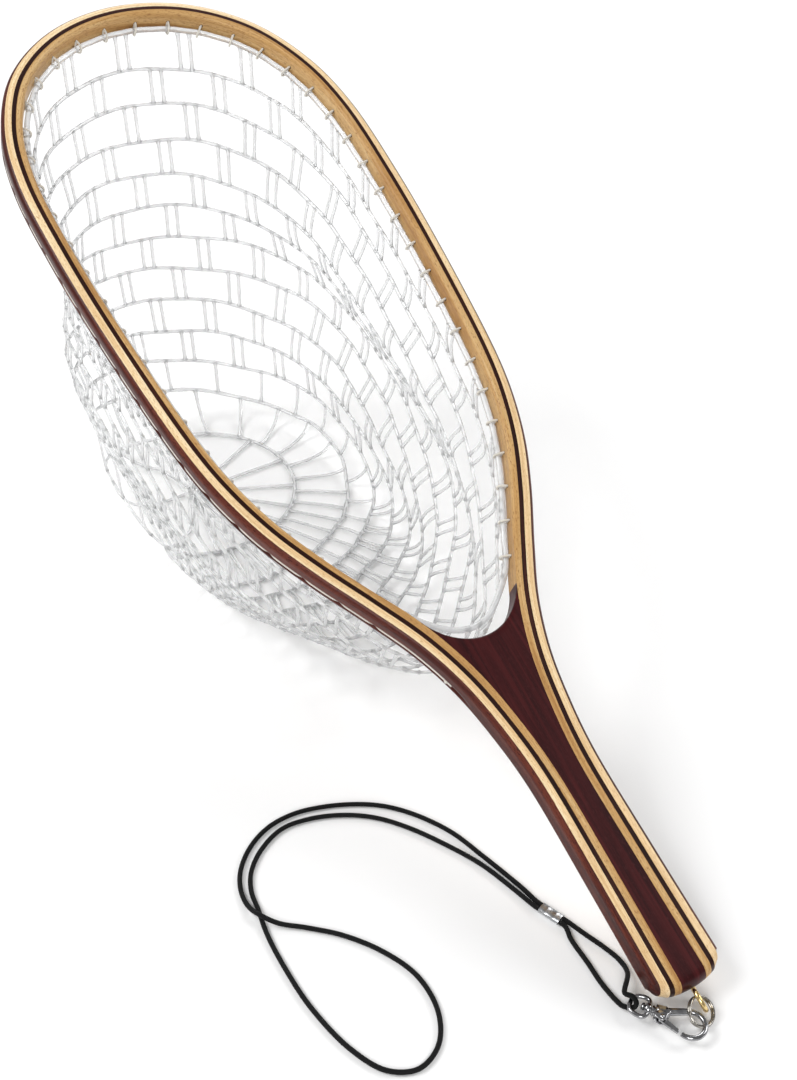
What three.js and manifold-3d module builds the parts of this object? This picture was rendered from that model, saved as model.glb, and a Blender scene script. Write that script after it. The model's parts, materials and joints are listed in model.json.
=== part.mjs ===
// Wooden landing net with a laminated hoop, a clear rubber bag, a snap hook and a wrist lanyard.
// Millimetres, +Z up. The net lies on a table at z = 0: X across the hoop, +Y towards the hoop's tip.
import * as THREE from 'three';
import { mergeVertices } from 'three/addons/utils/BufferGeometryUtils.js';
import { ParametricGeometry } from 'three/addons/geometries/ParametricGeometry.js';
import Module from 'manifold-3d';

const wasm = await Module();
wasm.setup();

// ---- Driving dimensions ----
const FRAME_HEIGHT = 12; // depth of the wood from its top face to its bottom face
const TAN_PLY = 3.3; // widths of the four plies, from the inside of the hoop outwards
const MIDDLE_PLY = 2.2;
const CREAM_PLY = 3.3;
const OUTER_PLY = 2.0;
const GAP = 0.3; // kept between touching pieces
const PITCH = THREE.MathUtils.degToRad(25); // the hoop's tip is raised by the bag under it
const LIFT = 15.5; // top face of the handle's butt above the table
const ORIGIN_Y = 250.5; // from the butt to the middle of the whole object
const PLY_STEPS = 100;

// Right half of the middle ply's centreline, from the butt to the tip: [across, along].
const HALF_OUTLINE = [
  [10.8, 0], [10.2, 50], [10.3, 100], [13, 125], [18, 150], [27, 175], [40.2, 200], [54.3, 225], [66.4, 250],
  [74.8, 275], [80, 300], [86.3, 360], [89.8, 420], [89.2, 471], [82.3, 503.2], [64.9, 534.7], [35.7, 556.3],
  [0, 563.8],
];
const BUTT_RADIUS = 7; // rounded corners of the handle's end, seen from above
const THROAT_DEPTH = 170; // bottom of the core's cradle, from the butt
const THROAT_HORN = 187; // where the cradle's horns run out on the tan ply

const RIM_RADIUS = 1.5; // moulded bead along the bag's upper edge
const RIM_DROP = 9.2; // bead's centre below the top face
const LACING_RADIUS = 0.6; // lacing cord in the groove round the outside
const LACING_DROP = 8.6;
const GROOVE_RADIUS = 1.35;
const BAG_WALL = 2.2;
const BAG_CENTRE = 412; // middle of the bag's flat base, along the table
const BAG_BASE_SHARE = 0.5; // flat base against the rim, in plan

const EYE_WIRE = 1.1; // wire radii
const EYE_RADIUS = 4.8; // screw eye's ring, to the middle of its wire
const EYE_CENTRE = 10.6; // ring's centre beyond the butt
const EYE_ROLL = THREE.MathUtils.degToRad(26.6); // ring's plane turned from vertical, about the handle
const SPLIT_WIRE = 0.55;
const SPLIT_RADIUS = 6;
const SPLIT_PITCH = 1.25;
const SPLIT_TILT = THREE.MathUtils.degToRad(31.5);
const SPLIT_LEAN = THREE.MathUtils.degToRad(5.2);
const SPLIT_HEIGHT = 4.55; // ring's middle above the table
const HOOK_WIRE = 1.0;
const HOOK_RADIUS = 6; // snap's round hook, to the middle of its wire
const SNAP_HEIGHT = 4.7; // snap's middle plane above the table
const SNAP_HOOK = 17.4; // from the swivel to the hook's centre
const CORD_RADIUS = 1.1;
const LYING = 1.15; // height of the cord's middle where it lies on the table

// ---- Materials ----
const paint = (color, roughness, metalness = 0) => new THREE.MeshStandardMaterial({ color, roughness, metalness });
const DARK_WOOD = paint(0x4a1a14, 0.35);
const CREAM_WOOD = paint(0xf3d79c, 0.35);
const TAN_WOOD = paint(0xd9b070, 0.35);
const ROSEWOOD = paint(0x3a1418, 0.4);
const CLEAR_RUBBER = paint(0xe9ecec, 0.25);
const WHITE_CORD = paint(0xeeeae2, 0.7);
const BLACK_CORD = paint(0x101012, 0.8);
const BRASS = paint(0xd8b868, 0.25, 1);
const CHROME = paint(0xc9cacc, 0.15, 1);
const CRIMP_METAL = paint(0xb9bbbe, 0.3, 1);

// ---- Helpers ----
const vec = (x, y, z = 0) => new THREE.Vector3(x, y, z);

function closed(geometry) {
  const bare = geometry.clone();
  bare.deleteAttribute('normal');
  bare.deleteAttribute('uv');
  return mergeVertices(bare, 1e-4);
}

function solidOf(geometry) {
  const merged = closed(geometry);
  const vertProperties = new Float32Array(merged.attributes.position.array);
  const triVerts = new Uint32Array(merged.index.array);
  return new wasm.Manifold(new wasm.Mesh({ numProp: 3, vertProperties, triVerts }));
}

function geometryOf(solid) {
  const mesh = solid.getMesh();
  const geometry = new THREE.BufferGeometry();
  geometry.setAttribute('position', new THREE.BufferAttribute(mesh.vertProperties, 3));
  geometry.setIndex(new THREE.BufferAttribute(mesh.triVerts, 1));
  geometry.computeVertexNormals();
  return geometry;
}

const cut = (geometry, ...tools) =>
  geometryOf(tools.reduce((solid, tool) => solid.subtract(solidOf(tool)), solidOf(geometry)));
const join = (geometry, ...others) =>
  geometryOf(others.reduce((solid, other) => solid.add(solidOf(other)), solidOf(geometry)));

function addMesh(group, name, geometry, material) {
  const mesh = new THREE.Mesh(geometry, material);
  mesh.name = name;
  group.add(mesh);
  return mesh;
}

function roundSection(radius, sides) {
  const corners = [];
  for (let i = 0; i < sides; i += 1) {
    const angle = (2 * Math.PI * i) / sides;
    corners.push(new THREE.Vector2(radius * Math.cos(angle), radius * Math.sin(angle)));
  }
  return new THREE.Shape(corners);
}

function tube(path, radius, steps, sides = 8) {
  const options = { extrudePath: path, steps, bevelEnabled: false };
  return new THREE.ExtrudeGeometry(roundSection(radius, sides), options);
}

const smooth = (points) => new THREE.CatmullRomCurve3(points, false, 'centripetal');

function slab(shape, bottom, top, curveSegments = 12) {
  const options = { depth: top - bottom, bevelEnabled: false, curveSegments };
  return new THREE.ExtrudeGeometry(shape, options).translate(0, 0, bottom);
}

// An upright cylinder, centred on (x, y) and running from bottom to top.
function post(radius, bottom, top, x, y, sides = 20) {
  const geometry = new THREE.CylinderGeometry(radius, radius, top - bottom, sides);
  return geometry.rotateX(Math.PI / 2).translate(x, y, (bottom + top) / 2);
}

// ---- Outline of the hoop and the legs of the handle ----
const rightHalf = HALF_OUTLINE.map(([x, y]) => vec(x, y));
const leftHalf = HALF_OUTLINE.slice(0, -1).reverse().map(([x, y]) => vec(-x, y));
const centreline = smooth([...rightHalf, ...leftHalf]);
const centrePoints = centreline.getSpacedPoints(PLY_STEPS);

// The centreline moved outwards (or inwards, below zero) by a distance, as points in the plane.
function offsetLine(distance) {
  return centrePoints.map((point, i) => {
    const before = centrePoints[Math.max(i - 1, 0)];
    const after = centrePoints[Math.min(i + 1, PLY_STEPS)];
    const along = after.clone().sub(before).normalize();
    return new THREE.Vector2(point.x + along.y * distance, point.y - along.x * distance);
  });
}

// Everything of the wood lies within this outline, which rounds the handle's end.
function buttTrim() {
  const reach = 200;
  const half = HALF_OUTLINE[0][0] + MIDDLE_PLY / 2 + CREAM_PLY + OUTER_PLY;
  const shape = new THREE.Shape();
  shape.moveTo(-half + BUTT_RADIUS, 0.6);
  shape.quadraticCurveTo(0, -0.6, half - BUTT_RADIUS, 0.6);
  shape.quadraticCurveTo(half, 1.2, half + 0.2, BUTT_RADIUS + 1);
  shape.lineTo(reach, 60);
  shape.lineTo(reach, 700);
  shape.lineTo(-reach, 700);
  shape.lineTo(-reach, 60);
  shape.lineTo(-half - 0.2, BUTT_RADIUS + 1);
  shape.quadraticCurveTo(-half, 1.2, -half + BUTT_RADIUS, 0.6);
  return slab(shape, -FRAME_HEIGHT - 1, 1, 6);
}

const trim = solidOf(buttTrim());
const trimmed = (geometry) => geometryOf(solidOf(geometry).intersect(trim));

// One bent ply: a strip between two offsets of the centreline, from leg round the tip to leg.
function ply(inner, outer) {
  const shape = new THREE.Shape([...offsetLine(outer), ...offsetLine(inner).reverse()]);
  return slab(shape, -FRAME_HEIGHT, 0);
}

const middleHalf = MIDDLE_PLY / 2;
const creamEdge = middleHalf + CREAM_PLY;
const outerEdge = creamEdge + OUTER_PLY;
const tanEdge = -middleHalf - TAN_PLY;
const inHalf = GAP / 2;

// ---- Handle core: a wedge between the legs, hollowed into a cradle at the throat ----
const coreEdge = offsetLine(tanEdge - GAP);

function handleCore() {
  const right = coreEdge.filter((p, i) => i < PLY_STEPS / 2 && p.y < THROAT_HORN);
  const left = right.map((p) => new THREE.Vector2(-p.x, p.y)).reverse();
  const horn = right[right.length - 1];
  const shape = new THREE.Shape(right);
  const pull = 2 * THROAT_DEPTH - horn.y; // brings the curve's middle down to the cradle's bottom
  shape.bezierCurveTo(horn.x * 0.55, pull + 6, -horn.x * 0.55, pull + 6, -horn.x, horn.y);
  left.slice(1).forEach((p) => shape.lineTo(p.x, p.y));
  const bore = new THREE.CylinderGeometry(EYE_WIRE + GAP, EYE_WIRE + GAP, 30, 16);
  bore.translate(0, -3, -FRAME_HEIGHT / 2);
  return geometryOf(solidOf(slab(shape, -FRAME_HEIGHT, 0)).intersect(trim).subtract(solidOf(bore)));
}

// ---- Bag ----

// The rim's route just inside the hoop, across the cradle and round, as a closed curve in the hoop's plane.
function rimCurve(inset) {
  const hoop = offsetLine(tanEdge - GAP - inset).filter((p) => p.y > THROAT_HORN + 5);
  const points = hoop.filter((p, i) => i % 2 === 0).map((p) => vec(p.x, p.y));
  const cradle = THROAT_DEPTH + 2.2 + inset;
  const across = [-18, -9, 0, 9, 18];
  across.forEach((x) => points.push(vec(x, cradle + 0.026 * x * x)));
  return new THREE.CatmullRomCurve3(points, true, 'centripetal');
}

// The same curve, opened at the cradle's middle, where the bead's two ends butt together.
function rimBead() {
  const loop = rimCurve(RIM_RADIUS + GAP);
  const count = 72;
  const around = loop.getSpacedPoints(count);
  const start = around.reduce((best, p, i) => (p.y < around[best].y ? i : best), 0);
  const points = [];
  for (let i = 0; i < count; i += 1) {
    const p = around[(start + i) % count];
    points.push(vec(p.x, p.y, -RIM_DROP));
  }
  return tube(smooth(points), RIM_RADIUS, 76, 6);
}

// Height and plan share of the bag's wall at t: 0 at the rim, 1 at the middle of the flat base.
function bagProfile(t, fullness) {
  const wall = 0.72;
  if (t >= wall) {
    return { height: 0, share: (BAG_BASE_SHARE * (1 - t)) / (1 - wall) };
  }
  const angle = ((t / wall) * Math.PI) / 2;
  return {
    height: 1 - Math.sin(angle) ** fullness,
    share: 1 - (1 - BAG_BASE_SHARE) * (1 - Math.cos(angle) ** fullness),
  };
}

const toTable = new THREE.Matrix4().makeRotationX(PITCH).setPosition(0, 0, LIFT);
const bagRim = rimCurve(RIM_RADIUS + GAP + 0.6);
const BAG_TOP = -RIM_DROP - RIM_RADIUS - GAP; // the wall starts under the bead

// A point of the bag's outer surface, on the table's axes.
function bagPoint(around, t) {
  const rim = bagRim.getPointAt(around % 1).setZ(BAG_TOP).applyMatrix4(toTable);
  const toThroat = THREE.MathUtils.smoothstep(BAG_CENTRE - rim.y, 60, 240);
  const { height, share } = bagProfile(t, 0.55 + 0.45 * toThroat);
  return vec(rim.x * share, BAG_CENTRE + (rim.y - BAG_CENTRE) * share, rim.z * height);
}

// Up the outside, over the upper edge and down the inside, as one closed cup.
function bagGeometry() {
  const rings = 12; // on each side of the wall, from the middle of the base to the upper edge
  const surface = (u, v, target) => {
    const ring = Math.round(v * (2 * rings - 1));
    const outside = ring < rings;
    const t = (outside ? rings - 1 - ring : ring - rings) / (rings - 1);
    const point = bagPoint(u, t);
    if (outside) {
      target.copy(point);
      return;
    }
    const { share } = bagProfile(t, 0.55);
    const inwards = vec(-point.x, BAG_CENTRE - point.y).normalize();
    const upright = THREE.MathUtils.smoothstep(share, BAG_BASE_SHARE * 0.9, 0.9);
    target.copy(point).addScaledVector(inwards, BAG_WALL * upright * Math.min(1, share * 4));
    target.z += BAG_WALL * (1 - upright * 0.8) * THREE.MathUtils.smoothstep(t, 0, 0.06);
  };
  return new ParametricGeometry(surface, 52, 2 * rings - 1);
}

// ---- Net frame, in its own plane: top face at z = 0, butt at y = 0 ----
const net = new THREE.Group();
net.rotation.x = PITCH;
net.position.z = LIFT;

// The groove's route round the outside of the hoop, between two places on the handle's neck.
function groovePath(neck) {
  const points = offsetLine(outerEdge - 0.1).filter((p) => p.y > neck);
  return smooth(points.map((p) => vec(p.x, p.y, -LACING_DROP)));
}

const groove = tube(groovePath(144), GROOVE_RADIUS, 80, 6);
const outerPly = cut(ply(creamEdge + inHalf, outerEdge), groove);
addMesh(net, 'outer_dark_ply', trimmed(outerPly), DARK_WOOD);
addMesh(net, 'cream_ply', trimmed(ply(middleHalf + inHalf, creamEdge - inHalf)), CREAM_WOOD);
addMesh(net, 'middle_dark_ply', trimmed(ply(-middleHalf + inHalf, middleHalf - inHalf)), DARK_WOOD);
addMesh(net, 'tan_ply', trimmed(ply(tanEdge, -middleHalf - inHalf)), TAN_WOOD);
addMesh(net, 'handle_core', handleCore(), ROSEWOOD);
addMesh(net, 'lacing_cord', tube(groovePath(150), LACING_RADIUS, 80, 5), WHITE_CORD);
addMesh(net, 'net_rim_bead', rimBead(), CLEAR_RUBBER);

// ---- Screw eye: a shank into the core, bent round into a ring nearly on edge ----
function screwEye() {
  const sides = 8;
  const points = [vec(0, 10), vec(0, 4), vec(0, -1), vec(0, -EYE_CENTRE + EYE_RADIUS + 2.6)];
  const turn = 15;
  for (let i = 0; i <= turn; i += 1) {
    const angle = THREE.MathUtils.degToRad(78 - (318 * i) / turn);
    points.push(vec(EYE_RADIUS * Math.cos(angle), -EYE_CENTRE + EYE_RADIUS * Math.sin(angle)));
  }
  return tube(smooth(points), EYE_WIRE, 36, sides);
}

const eye = addMesh(net, 'screw_eye', screwEye(), BRASS);
eye.rotation.y = Math.PI / 2 - EYE_ROLL;
eye.position.z = -FRAME_HEIGHT / 2;

// ---- Hardware on the table's axes ----
const hardware = new THREE.Group();
const eyeWire = vec(0, -EYE_CENTRE - EYE_RADIUS, -FRAME_HEIGHT / 2).applyMatrix4(toTable);
const hookBearing = Math.atan2(-0.23, -0.973); // from the screw eye's wire to the hook, on the table
const hookReach = vec(Math.cos(hookBearing), Math.sin(hookBearing));
const LINK = 4.77; // between the two wires that the split ring holds

function splitRing() {
  const turns = 1.92;
  const count = 40;
  const points = [];
  for (let i = 0; i <= count; i += 1) {
    const angle = (2 * Math.PI * turns * i) / count;
    const rise = (SPLIT_PITCH * turns * (i / count - 0.5));
    points.push(vec(SPLIT_RADIUS * Math.cos(angle), SPLIT_RADIUS * Math.sin(angle), rise));
  }
  return tube(smooth(points), SPLIT_WIRE, 36, 7);
}

const splitMount = new THREE.Group();
const hookSide = vec(-hookReach.y, hookReach.x);
splitMount.position.set(eyeWire.x, eyeWire.y, SPLIT_HEIGHT);
splitMount.position.addScaledVector(hookReach, 2.635).addScaledVector(hookSide, -0.7);
splitMount.rotation.z = hookBearing - 0.03;
const split = addMesh(splitMount, 'split_ring', splitRing(), CHROME);
split.rotation.set(-SPLIT_TILT, -SPLIT_LEAN, 0);
hardware.add(splitMount);

// ---- Snap hook: x runs from the swivel to the hook, z is the pin's direction ----
const snap = new THREE.Group();
const hookCentre = vec(eyeWire.x, eyeWire.y).addScaledVector(hookReach, LINK + HOOK_RADIUS);
const SNAP_BEARING = THREE.MathUtils.degToRad(-56.5);
snap.position.set(
  hookCentre.x - SNAP_HOOK * Math.cos(SNAP_BEARING),
  hookCentre.y - SNAP_HOOK * Math.sin(SNAP_BEARING),
  SNAP_HEIGHT,
);
snap.rotation.z = SNAP_BEARING;
hardware.add(snap);

const PIN = vec(6, -2.1); // the gate's pivot
const TIP_ANGLE = THREE.MathUtils.degToRad(-112); // where the hook's nose ends
const SNAP_HALF = 1.15;
const BLOCK_HALF = 2.1;
const FORK_HALF = 1.3;

// A point on a circle round the hook's centre.
function onHook(radius, angle) {
  return vec(SNAP_HOOK + radius * Math.cos(angle), radius * Math.sin(angle));
}

function snapBody() {
  const inner = HOOK_RADIUS - HOOK_WIRE;
  const outer = HOOK_RADIUS + HOOK_WIRE;
  const shoulder = THREE.MathUtils.degToRad(120);
  const outline = new THREE.Shape();
  const start = onHook(outer, shoulder);
  outline.moveTo(3.2, 2.6);
  outline.lineTo(7, 3.6);
  outline.lineTo(start.x, start.y);
  outline.absarc(SNAP_HOOK, 0, outer, shoulder, TIP_ANGLE, true);
  outline.lineTo(onHook(inner, TIP_ANGLE).x, onHook(inner, TIP_ANGLE).y);
  outline.absarc(SNAP_HOOK, 0, inner, TIP_ANGLE, shoulder, false);
  outline.lineTo(8.6, 0.9);
  outline.lineTo(7.9, 0.2);
  outline.lineTo(3.2, 0.2);
  const spine = slab(outline, -SNAP_HALF, SNAP_HALF, 24);
  const block = new THREE.Shape();
  block.moveTo(2.4, 2.6);
  block.lineTo(7.6, 2.6);
  block.lineTo(7.6, -2.6);
  block.quadraticCurveTo(7.4, -3.9, 6, -3.9);
  block.quadraticCurveTo(3.6, -3.7, 2.4, -2.2);
  const pivotBlock = slab(block, -BLOCK_HALF, BLOCK_HALF, 6);
  const neck = new THREE.CylinderGeometry(2.2, 2.2, 2.2, 20).rotateZ(Math.PI / 2).translate(2.5, 0, 0);
  const fork = new THREE.BoxGeometry(5.4, 4.4, 2 * FORK_HALF).translate(7.1, -2.4, 0);
  const whole = join(spine, pivotBlock, neck);
  return cut(whole, fork, post(0.95, -3, 3, PIN.x, PIN.y, 16));
}

function snapGate() {
  const nose = onHook(HOOK_RADIUS + 0.2, TIP_ANGLE - 0.24);
  const along = nose.clone().sub(PIN);
  const length = along.length();
  const gateHalf = 1.0;
  const shape = new THREE.Shape();
  shape.absarc(0, 0, 1.35, Math.PI * 0.35, Math.PI * 1.65, false);
  shape.lineTo(length, -0.9);
  shape.lineTo(length, 0.9);
  const bar = slab(shape, -gateHalf, gateHalf * 0.45, 8);
  bar.rotateZ(Math.atan2(along.y, along.x)).translate(PIN.x, PIN.y, 0);
  return cut(bar, post(0.95, -3, 3, PIN.x, PIN.y, 16));
}

function gateSpring() {
  const points = [];
  const count = 24;
  for (let i = 0; i <= count; i += 1) {
    const angle = (2 * Math.PI * 1.6 * i) / count;
    points.push(vec(PIN.x + 1.12 * Math.cos(angle), PIN.y + 1.12 * Math.sin(angle), 0.76 + (0.36 * i) / count));
  }
  return tube(smooth(points), 0.1, 20, 4);
}

addMesh(snap, 'snap_body', snapBody(), CHROME);
addMesh(snap, 'snap_gate', snapGate(), CHROME);
addMesh(snap, 'gate_pin', post(0.65, -2.2, 2.2, PIN.x, PIN.y, 14), CHROME);
addMesh(snap, 'gate_spring', gateSpring(), CHROME);

// ---- Swivel: a D-shaped eye that turns on a rivet in the snap's neck ----
const EYE_BAR = -8; // middle of the far bar that the lanyard passes round
const BAR_RADIUS = 1.0;

function swivelEye() {
  const wide = 4.4;
  const points = [
    vec(-0.6, 0), vec(-0.6, wide - 1.2), vec(-1.6, wide), vec(-4, wide + 0.2), vec(EYE_BAR + 1, wide - 1),
    vec(EYE_BAR, wide - 3), vec(EYE_BAR, 0),
  ];
  const mirrored = points.slice(1, -1).reverse().map((p) => vec(p.x, -p.y));
  const route = smooth([...points, ...mirrored, vec(-0.6, -0.3)]);
  const bow = tube(route, BAR_RADIUS, 32, 8);
  const base = new THREE.CylinderGeometry(2.5, 2.5, 2.4, 20).rotateZ(Math.PI / 2).translate(-0.4, 0, 0);
  const bore = new THREE.CylinderGeometry(1.3, 1.3, 8, 16).rotateZ(Math.PI / 2).translate(-0.4, 0, 0);
  return cut(join(bow, base), bore);
}

function swivelRivet() {
  const profile = [[0, -3.5], [1.4, -3.5], [1.9, -3.0], [1.9, -2.2], [1.0, -1.9], [1.0, 1.1], [0, 1.1]];
  const lathe = new THREE.LatheGeometry(profile.map(([r, y]) => new THREE.Vector2(r, y)), 16);
  return lathe.rotateZ(-Math.PI / 2);
}

addMesh(snap, 'swivel_eye', swivelEye(), CHROME);
addMesh(snap, 'swivel_rivet', swivelRivet(), CHROME);

// ---- Lanyard, on the table: its route is chosen by hand ----
const CRIMP = { x: -24.5, y: 61.4, length: 10.4, bearing: THREE.MathUtils.degToRad(108) };
const STRAND = 1.25; // each strand's middle from the crimp's middle

// An end of the crimp, on one strand: side -1 is the left strand looking away from the snap.
function crimpFace(end, side, beyond = GAP) {
  const reach = end * (CRIMP.length / 2 + beyond);
  const { x, y, bearing } = CRIMP;
  return vec(
    x + reach * Math.cos(bearing) + side * STRAND * Math.sin(bearing),
    y + reach * Math.sin(bearing) - side * STRAND * Math.cos(bearing),
    1.6,
  );
}

const WRIST_LOOP = [
  [-27, 80], [-31.6, 103], [-36.4, 123], [-45.5, 141], [-55, 152.5], [-66, 160.5], [-80, 167], [-93, 170.2],
  [-106, 169.3], [-118, 163.8], [-128, 154.5], [-133, 145], [-134.6, 135, 1.7], [-133, 126.5, 3.8],
  [-127.5, 119.5, 1.9], [-118.5, 112], [-107, 100.2], [-96.6, 84], [-90.6, 66], [-92.5, 47], [-101, 34],
  [-113, 29.6], [-124, 35.5], [-131.5, 51], [-135.8, 76], [-135.8, 100], [-134.2, 118], [-131.5, 131],
  [-129.5, 141.5], [-124.5, 151], [-114.5, 159.8], [-101, 165.2], [-87, 163.4], [-73, 157.2], [-61.5, 148.2],
  [-51.8, 135.5], [-42, 117], [-34.8, 99.5], [-30.4, 81],
];
const UNDER_STRAND = [[-25, 46, 1.3], [-26, 34, 1.25], [-27.4, 21, 1.25]];
const OVER_STRAND = [[-18.5, 46, 1.4], [-15.2, 35, 1.25], [-14, 27, 1.6], [-16, 19.5, 3.5]];

const along = (list) => list.map(([x, y, z = LYING]) => vec(x, y, z));
const crimpEnd = (end, side) => [crimpFace(end, side), crimpFace(end, side, 3)];
const wristLoop = smooth([...crimpEnd(1, 1), ...along(WRIST_LOOP), ...crimpEnd(1, -1).reverse()]);

// The lanyard's turn round the swivel eye's far bar, from below it to above it.
const BEND = 2.5;
const SIDE = 1.3;
const onSnap = (point) => point.applyMatrix4(snap.matrixWorld);

function barTurn() {
  const points = [vec(EYE_BAR - 1, -SIDE, -BEND)];
  for (let i = 0; i <= 6; i += 1) {
    const angle = -Math.PI / 2 + (Math.PI * i) / 6;
    const side = -SIDE + (2 * SIDE * i) / 6;
    points.push(vec(EYE_BAR + BEND * Math.cos(angle), side, BEND * Math.sin(angle)));
  }
  points.push(vec(EYE_BAR - 1, SIDE, BEND));
  return points.map(onSnap);
}

// The end of a strand that meets the turn, below the bar (-1) or above it (1), square to it.
function strandStart(level) {
  return [3, 1 + GAP].map((back) => onSnap(vec(EYE_BAR - back, level * SIDE, level * BEND)));
}

snap.updateMatrixWorld(true);
const strands = new THREE.Group();
addMesh(strands, 'lanyard_bight', tube(smooth(barTurn()), CORD_RADIUS, 10, 8), BLACK_CORD);
addMesh(
  strands,
  'lanyard_under_strand',
  tube(smooth([...crimpEnd(-1, -1), ...along(UNDER_STRAND), ...strandStart(-1)]), CORD_RADIUS, 11, 8),
  BLACK_CORD,
);
addMesh(
  strands,
  'lanyard_over_strand',
  tube(smooth([...crimpEnd(-1, 1), ...along(OVER_STRAND), ...strandStart(1)]), CORD_RADIUS, 13, 8),
  BLACK_CORD,
);
addMesh(
  strands,
  'lanyard_wrist_loop',
  tube(wristLoop, CORD_RADIUS, 74, 8),
  BLACK_CORD,
);

function crimpSleeve() {
  const half = 1.45;
  const shape = new THREE.Shape();
  shape.moveTo(-STRAND, -half);
  shape.lineTo(STRAND, -half);
  shape.absarc(STRAND, 0, half, -Math.PI / 2, Math.PI / 2, false);
  shape.lineTo(-STRAND, half);
  shape.absarc(-STRAND, 0, half, Math.PI / 2, 1.5 * Math.PI, false);
  return slab(shape, -CRIMP.length / 2, CRIMP.length / 2, 8).rotateX(Math.PI / 2);
}

const crimp = addMesh(strands, 'lanyard_crimp', crimpSleeve(), CRIMP_METAL);
crimp.position.set(CRIMP.x, CRIMP.y, 1.6);
crimp.rotation.z = CRIMP.bearing - Math.PI / 2;

// ---- Assembly ----
const group = new THREE.Group();
const bag = addMesh(group, 'net_bag', bagGeometry(), CLEAR_RUBBER);
[net, hardware, strands, bag].forEach((piece) => {
  piece.position.y -= ORIGIN_Y;
  group.add(piece);
});

export default group;
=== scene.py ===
"""The looks of a wooden landing net with a clear rubber bag, a snap hook and a wrist lanyard.

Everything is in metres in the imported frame: +Z up, +Y from the handle to the hoop's tip, the table at z = 0.
"""

import json
import math
import random

import bmesh
import bpy
import numpy as np
from mathutils import Euler, Matrix, Vector


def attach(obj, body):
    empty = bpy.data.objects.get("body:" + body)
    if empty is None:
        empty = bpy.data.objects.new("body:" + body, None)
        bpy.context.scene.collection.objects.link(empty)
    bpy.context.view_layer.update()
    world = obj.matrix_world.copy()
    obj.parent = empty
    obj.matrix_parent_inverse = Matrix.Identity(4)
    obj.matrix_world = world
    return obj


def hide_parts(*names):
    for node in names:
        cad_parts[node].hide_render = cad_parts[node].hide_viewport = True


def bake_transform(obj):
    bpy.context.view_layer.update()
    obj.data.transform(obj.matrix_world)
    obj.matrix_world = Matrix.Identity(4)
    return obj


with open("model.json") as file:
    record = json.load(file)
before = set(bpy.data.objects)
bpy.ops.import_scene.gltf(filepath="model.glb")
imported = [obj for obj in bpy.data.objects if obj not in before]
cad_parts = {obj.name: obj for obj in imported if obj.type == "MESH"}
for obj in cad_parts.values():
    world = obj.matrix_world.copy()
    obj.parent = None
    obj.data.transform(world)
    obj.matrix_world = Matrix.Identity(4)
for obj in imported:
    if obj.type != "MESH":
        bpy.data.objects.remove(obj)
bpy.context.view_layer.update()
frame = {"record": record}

MM = 0.001
JOINTS = {joint["name"]: joint for joint in frame["record"]["behaviour"]["joints"]}
MOUNTS = {mount["name"]: mount for mount in frame["record"]["mounts"]}

# ---- Wood, in the hoop's plane, in millimetres ----
FRAME_HEIGHT = 12.0
TAN_EDGE, MIDDLE_INNER, MIDDLE_OUTER, CREAM_OUTER, OUTER_EDGE = -4.4, -1.1, 1.1, 4.4, 6.4
HALF_OUTLINE = [  # right half of the middle ply's centreline, from the butt to the tip
    (10.8, 0), (10.2, 50), (10.3, 100), (13, 125), (18, 150), (27, 175), (40.2, 200), (54.3, 225),
    (66.4, 250),
    (74.8, 275), (80, 300), (86.3, 360), (89.8, 420), (89.2, 471), (82.3, 503.2), (64.9, 534.7),
    (35.7, 556.3), (0, 563.8),
]
STATIONS = 420  # cross-sections along each ply
EDGE_ROUND = 2.9  # rounding of the handle's upper outer edge, which grows to HOOP_ROUND round the hoop
HOOP_ROUND = 4.2
LOWER_ROUND = 2.6
INNER_ROUND = 2.0  # rounding of the hoop's inner edges
BUTT_REACH = 5.5  # the handle's half-round end, beyond its flat top face
BUTT_CORNER = [(10.2, -4.4), (15.8, -3.2), (17.4, 3.0)]  # the end's corner from above, a quadratic bezier
BUTT_BLEND = 60.0  # where the end's shape has run out
THROAT_DEPTH = 170.0
THROAT_HORN = 187.0
CRADLE_ROUND = 1.2
GROOVE_HEIGHT = -8.1
GROOVE_RADIUS = 0.95
LACING_RADIUS = 0.5
HANDLE_TOP_FROM_BUTT = 60.0  # where the record's handle_top mount lies

# ---- Bag ----
BEAD_RADIUS = 1.5
BEAD_HEIGHT = -9.2
BAG_TOP = -11.0
RIM_INSET = 2.4
BAG_CENTRE = 412.0  # middle of the bag's base, measured from the butt along the table
BAG_BASE_SHARE = 0.5
PAIRS = 26  # pairs of ribs in each row
RINGS = 12
HUB_RINGS = (92.0, 60.0)  # radii of the two innermost rings, along the base
HUB_SHIFT = (-24.0, 6.0)  # the net's middle hangs a little to the left
LOOPS = 46  # lacing loops round the hoop
LOOP_RADIUS = 0.55
LOOP_ROUTE = (  # one loop: reach in from the tan ply, height and shift along the hoop
    (-0.9, -5.6, 0), (0.5, -5.6, 0), (2.6, -6.6, 0.2), (4.1, -8.6, 0.7), (3.7, -10.8, 1.0),
    (2.1, -11.4, 1.1), (0.7, -10.6, 1.0), (0.25, -8.4, 0.8), (0.3, -6.6, 0.6), (-0.9, -6.1, 0.4),
)
HOLE_HEIGHT = -5.85
WALL_SHARE = 0.72  # how much of a meridian is wall, before the base
FOLD_WAVES = 2.3
FOLD_DEPTH, FOLD_RIGHT, FOLD_LEFT = 3.0, 10.0, 4.0  # everywhere, and more on each side

# ---- Cord ----
CORD_RADIUS = 1.1
LYING = 1.15


def smoothstep(value, low, high):
    x = min(max((value - low) / (high - low), 0.0), 1.0)
    return x * x * (3 - 2 * x)


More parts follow.
